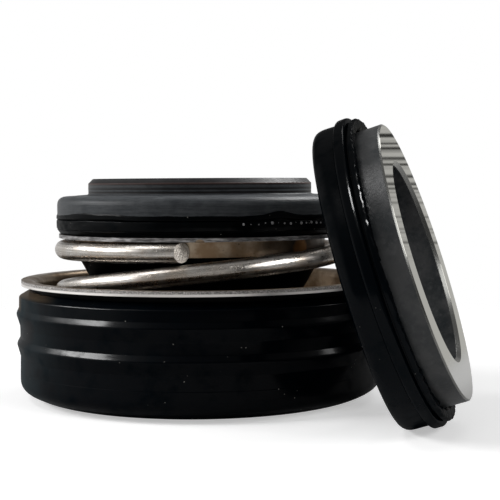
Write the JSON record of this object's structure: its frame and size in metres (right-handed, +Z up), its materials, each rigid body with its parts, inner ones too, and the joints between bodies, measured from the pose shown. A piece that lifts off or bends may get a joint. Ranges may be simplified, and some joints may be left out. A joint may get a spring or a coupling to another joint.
{
  "type": "mechanical seal",
  "caption": "Component mechanical seal: a rubber-jacketed cup holds a coil spring and bellows that press a carbon face ring upwards, with its mating seat in a rubber cup leaning beside it.",
  "frame": {"origin": "centre of the shaft hole at the underside of the base", "axes": "+Z up along the head's axis, out of its running face; +X towards the side on which the seat leans"},
  "size_m": [0.0515, 0.0598, 0.0318],
  "materials": {
    "jacket_rubber": "moulded, semi-gloss",
    "cup_steel": "pressed sheet, dull inside, bright on the rim",
    "clamp_steel": "pressed sheet",
    "bellows_rubber": "moulded, semi-gloss",
    "spring_wire": "drawn wire",
    "follower_steel": "pressed sheet",
    "carbon": "turned carbon graphite, matte",
    "seat_hard_face": "sintered, matte sides and a lapped face",
    "seat_rubber": "moulded, glossy"
  },
  "bodies": {
    "housing": {"housing_jacket": "jacket_rubber", "spring_cup": "cup_steel", "tail_clamp_ring": "clamp_steel", "bellows": "bellows_rubber", "spring": "spring_wire", "seat_ring": "seat_hard_face", "seat_cup": "seat_rubber"},
    "face_unit": {"seal_face_ring": "carbon", "spring_follower": "follower_steel"}
  },
  "joints": [
    {"name": "face_travel", "type": "slide", "parent": "housing", "child": "face_unit", "axis": [0, 0, 1], "range_m": [-0.004, 0], "stiffness_N_per_m": 4500, "deforming": ["spring", "bellows"]}
  ]
}
